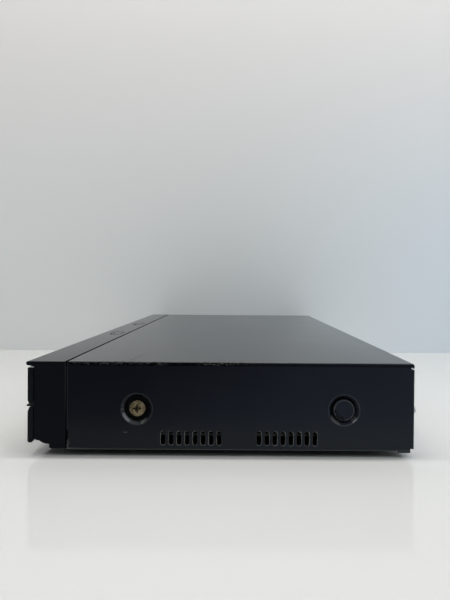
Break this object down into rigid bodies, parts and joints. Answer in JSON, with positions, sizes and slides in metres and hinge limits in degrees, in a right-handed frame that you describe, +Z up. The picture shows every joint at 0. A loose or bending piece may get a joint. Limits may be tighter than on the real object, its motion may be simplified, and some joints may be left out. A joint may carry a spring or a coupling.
{
  "type": "blu-ray recorder",
  "caption": "Low black disc recorder with a sheet-steel cover, moulded fascia, hinged flap and a motor-driven disc tray over a hard disk and boards.",
  "frame": {"origin": "under the middle of the whole object, on the table", "axes": "+X to the right seen from the front, +Y to the rear, +Z up"},
  "size_m": [0.43, 0.2524, 0.059],
  "materials": {
    "black_steel": "satin black paint",
    "black_plastic": "fine-grained black moulding",
    "gloss_black": "polished black",
    "bare_steel": "zinc-plated sheet",
    "yellow_zinc": "yellow passivated zinc",
    "rubber": "matt",
    "board_green": "solder mask",
    "board_tan": "paper laminate",
    "aluminium": "cast and machined",
    "ivory_plastic": "acetal",
    "grey_plastic": "glass-filled",
    "tape_yellow": "wound coil in tape",
    "can_blue": "sleeved can",
    "jack_colours": "moulded rings",
    "display_glass": "dark display"
  },
  "bodies": {
    "root": {"base_chassis": "bare_steel", "top_cover": "black_steel", "back_panel": "bare_steel", "feet": "rubber", "cover_screws": "yellow_zinc", "screw_caps": "black_plastic", "rear_screws": "bare_steel", "front_panel": "black_plastic", "lower_panel": "gloss_black", "centre_trim": "black_plastic", "display_window": "gloss_black", "display_module": "display_glass", "front_board": "board_green", "card_board": "board_green", "front_usb_socket": "bare_steel", "card_slot": "bare_steel", "key_board": "board_green", "key_switches": "grey_plastic", "loader_frame": "grey_plastic", "drive_cover": "bare_steel", "loading_belt": "rubber", "loading_motor": "bare_steel", "drive_screws": "bare_steel", "main_board": "board_green", "main_heat_sink": "aluminium", "tuner_module": "bare_steel", "aerial_sockets": "bare_steel", "hdmi_socket": "bare_steel", "lan_socket": "bare_steel", "av_jacks": "jack_colours", "power_board": "board_tan", "transformer": "tape_yellow", "capacitors": "can_blue", "power_heat_sink": "aluminium", "mains_inlet": "black_plastic", "fan_frame": "black_plastic", "hard_disk": "aluminium", "hdd_bracket": "bare_steel", "hdd_dampers": "rubber", "hdd_screws": "bare_steel", "board_screws": "bare_steel"},
    "tray": {"disc_tray": "grey_plastic", "tray_bezel": "gloss_black"},
    "tray_gear_body": {"tray_gear": "ivory_plastic"},
    "pulley_gear_body": {"pulley_gear": "ivory_plastic"},
    "motor_pulley_body": {"motor_pulley": "yellow_zinc"},
    "traverse": {"traverse_frame": "grey_plastic", "spindle_motor": "bare_steel", "guide_rods": "bare_steel", "sled_motor": "bare_steel"},
    "spindle": {"turntable": "grey_plastic"},
    "clamper_body": {"clamper": "grey_plastic"},
    "sled": {"pickup_sled": "aluminium"},
    "lead_screw_body": {"lead_screw": "bare_steel"},
    "fan": {"fan_rotor": "black_plastic"},
    "flap": {"flap_door": "gloss_black", "flap_pins": "bare_steel"},
    "power_key": {"power_button": "black_plastic"},
    "open_key": {"open_button": "black_plastic"}
  },
  "joints": [
    {"name": "tray_slide", "type": "slide", "parent": "root", "child": "tray", "axis": [0, -1, 0], "range_m": [0, 0.138]},
    {"name": "tray_gear_spin", "type": "hinge", "parent": "root", "child": "tray_gear_body", "pos_m": [-0.043, -0.08, 0.035], "axis": [0, 0, 1], "range_deg": [-796.7, 6]},
    {"name": "pulley_gear_spin", "type": "hinge", "parent": "root", "child": "pulley_gear_body", "pos_m": [-0.05815, -0.07228, 0.033], "axis": [0, 0, 1], "range_deg": [-6, 1135.5]},
    {"name": "motor_pulley_spin", "type": "hinge", "parent": "root", "child": "motor_pulley_body", "pos_m": [-0.05815, -0.02628, 0.03], "axis": [0, 0, 1], "range_deg": [-6, 2652.4]},
    {"name": "traverse_tilt", "type": "hinge", "parent": "root", "child": "traverse", "pos_m": [0, 0.059, 0.0225], "axis": [1, 0, 0], "range_deg": [0, 3.5]},
    {"name": "spindle_spin", "type": "hinge", "parent": "traverse", "child": "spindle", "pos_m": [0, -0.048, 0.035], "axis": [0, 0, 1], "continuous": true},
    {"name": "clamper_spin", "type": "hinge", "parent": "root", "child": "clamper_body", "pos_m": [0, -0.048, 0.045], "axis": [0, 0, 1], "continuous": true},
    {"name": "sled_slide", "type": "slide", "parent": "traverse", "child": "sled", "axis": [0, 1, 0], "range_m": [0, 0.034]},
    {"name": "lead_screw_spin", "type": "hinge", "parent": "traverse", "child": "lead_screw_body", "pos_m": [-0.033, 0.002, 0.0287], "axis": [0, 1, 0], "range_deg": [-6, 4086]},
    {"name": "fan_spin", "type": "hinge", "parent": "root", "child": "fan", "pos_m": [-0.062, 0.1092, 0.0306], "axis": [0, 1, 0], "continuous": true},
    {"name": "flap_hinge", "type": "hinge", "parent": "root", "child": "flap", "pos_m": [0.145, -0.1237, 0.0342], "axis": [1, 0, 0], "range_deg": [0, 88]},
    {"name": "power_press", "type": "slide", "parent": "root", "child": "power_key", "axis": [0, 0, -1], "range_m": [0, 0.0008], "stiffness_N_per_m": 600},
    {"name": "open_press", "type": "slide", "parent": "root", "child": "open_key", "axis": [0, 0, -1], "range_m": [0, 0.0008], "stiffness_N_per_m": 600}
  ],
  "couplings": [
    {"joint": "tray_gear_spin", "follows": "tray_slide", "rad_per_m": -100},
    {"joint": "pulley_gear_spin", "follows": "tray_slide", "rad_per_m": 142.86},
    {"joint": "motor_pulley_spin", "follows": "tray_slide", "rad_per_m": 334.69},
    {"joint": "clamper_spin", "follows": "spindle_spin", "ratio": 1},
    {"joint": "lead_screw_spin", "follows": "sled_slide", "rad_per_m": 2094.4}
  ]
}
